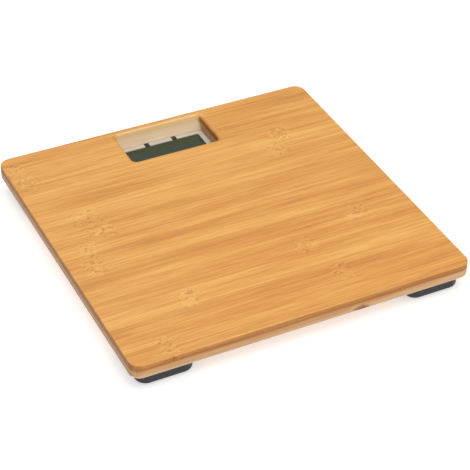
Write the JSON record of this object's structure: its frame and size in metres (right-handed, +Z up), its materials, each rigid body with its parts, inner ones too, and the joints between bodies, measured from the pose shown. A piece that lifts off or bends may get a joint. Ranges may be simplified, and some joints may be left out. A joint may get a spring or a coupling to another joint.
{
  "type": "digital bathroom scale",
  "caption": "Low square bathroom scale with a bamboo platform, a sunken rectangular display near one edge and a black load cell foot under each corner.",
  "frame": {"origin": "on the floor, under the middle of the square platform", "axes": "+Z up, +X to the user's right, +Y towards the edge that carries the display"},
  "size_m": [0.28, 0.28, 0.024],
  "materials": {
    "bamboo_upper": "satin lacquer, strips along X",
    "bamboo_lower": "satin lacquer, paler strips",
    "black_case": "fine moulded texture",
    "grey_button": "smooth",
    "switch_body": "smooth",
    "switch_plunger": "smooth",
    "zinc_screw": "zinc plated",
    "black_screw": "black oxide",
    "clip_plastic": "smooth",
    "frame_grey": "light grey, satin",
    "clear_window": "clear, polished",
    "lcd_face": "dark greenish liquid crystal display",
    "lcd_back": "reflector film",
    "zebra_rubber": "striped silicone",
    "board_green": "solder mask",
    "resin": "cured resin",
    "component_body": "small chip parts",
    "cell_can": "nickel plated",
    "nickel_contact": "nickel plated spring strip",
    "black_foot": "satin moulded",
    "foot_rubber": "dull",
    "carrier_plastic": "moulded",
    "cell_steel": "nickel plated steel",
    "gauge_seal": "white silicone",
    "lead_jacket": "grey jacket"
  },
  "bodies": {
    "platform": {"upper_ply": "bamboo_upper", "lower_ply": "bamboo_lower", "display_housing": "black_case", "bottom_cover": "black_case", "battery_holder": "black_case", "unit_switch": "switch_body", "housing_screws": "zinc_screw", "cover_screws": "black_screw", "board_screws": "zinc_screw", "carrier_screws": "zinc_screw", "lead_clips": "clip_plastic", "lcd_frame": "frame_grey", "display_window": "clear_window", "lcd_front_glass": "lcd_face", "lcd_rear_glass": "lcd_back", "zebra_connector": "zebra_rubber", "circuit_board": "board_green", "controller_blob": "resin", "board_components": "component_body", "coin_cell": "cell_can", "positive_contact": "nickel_contact", "negative_contact": "nickel_contact", "cell_carrier_front_left": "carrier_plastic", "load_cell_front_left": "cell_steel", "strain_gauge_front_left": "gauge_seal", "sensor_lead_front_left": "lead_jacket", "cell_carrier_front_right": "carrier_plastic", "load_cell_front_right": "cell_steel", "strain_gauge_front_right": "gauge_seal", "sensor_lead_front_right": "lead_jacket", "cell_carrier_rear_left": "carrier_plastic", "load_cell_rear_left": "cell_steel", "strain_gauge_rear_left": "gauge_seal", "sensor_lead_rear_left": "lead_jacket", "cell_carrier_rear_right": "carrier_plastic", "load_cell_rear_right": "cell_steel", "strain_gauge_rear_right": "gauge_seal", "sensor_lead_rear_right": "lead_jacket"},
    "unit_button": {"unit_button": "grey_button", "switch_plunger": "switch_plunger"},
    "battery_cap": {"battery_cap": "black_case"},
    "foot_front_left": {"foot_shoe_front_left": "black_foot", "foot_pad_front_left": "foot_rubber"},
    "foot_front_right": {"foot_shoe_front_right": "black_foot", "foot_pad_front_right": "foot_rubber"},
    "foot_rear_left": {"foot_shoe_rear_left": "black_foot", "foot_pad_rear_left": "foot_rubber"},
    "foot_rear_right": {"foot_shoe_rear_right": "black_foot", "foot_pad_rear_right": "foot_rubber"}
  },
  "joints": [
    {"name": "foot_front_left_press", "type": "slide", "parent": "platform", "child": "foot_front_left", "axis": [0, 0, 1], "range_m": [0, 0.0003], "stiffness_N_per_m": 1600000},
    {"name": "foot_front_right_press", "type": "slide", "parent": "platform", "child": "foot_front_right", "axis": [0, 0, 1], "range_m": [0, 0.0003], "stiffness_N_per_m": 1600000},
    {"name": "foot_rear_left_press", "type": "slide", "parent": "platform", "child": "foot_rear_left", "axis": [0, 0, 1], "range_m": [0, 0.0003], "stiffness_N_per_m": 1600000},
    {"name": "foot_rear_right_press", "type": "slide", "parent": "platform", "child": "foot_rear_right", "axis": [0, 0, 1], "range_m": [0, 0.0003], "stiffness_N_per_m": 1600000},
    {"name": "unit_button_press", "type": "slide", "parent": "platform", "child": "unit_button", "axis": [0, 0, 1], "range_m": [0, 0.0005], "stiffness_N_per_m": 4000},
    {"name": "battery_cap_turn", "type": "hinge", "parent": "platform", "child": "battery_cap", "pos_m": [0.0325, 0.0694, 0.003], "axis": [0, 0, 1], "range_deg": [-40, 0]}
  ]
}
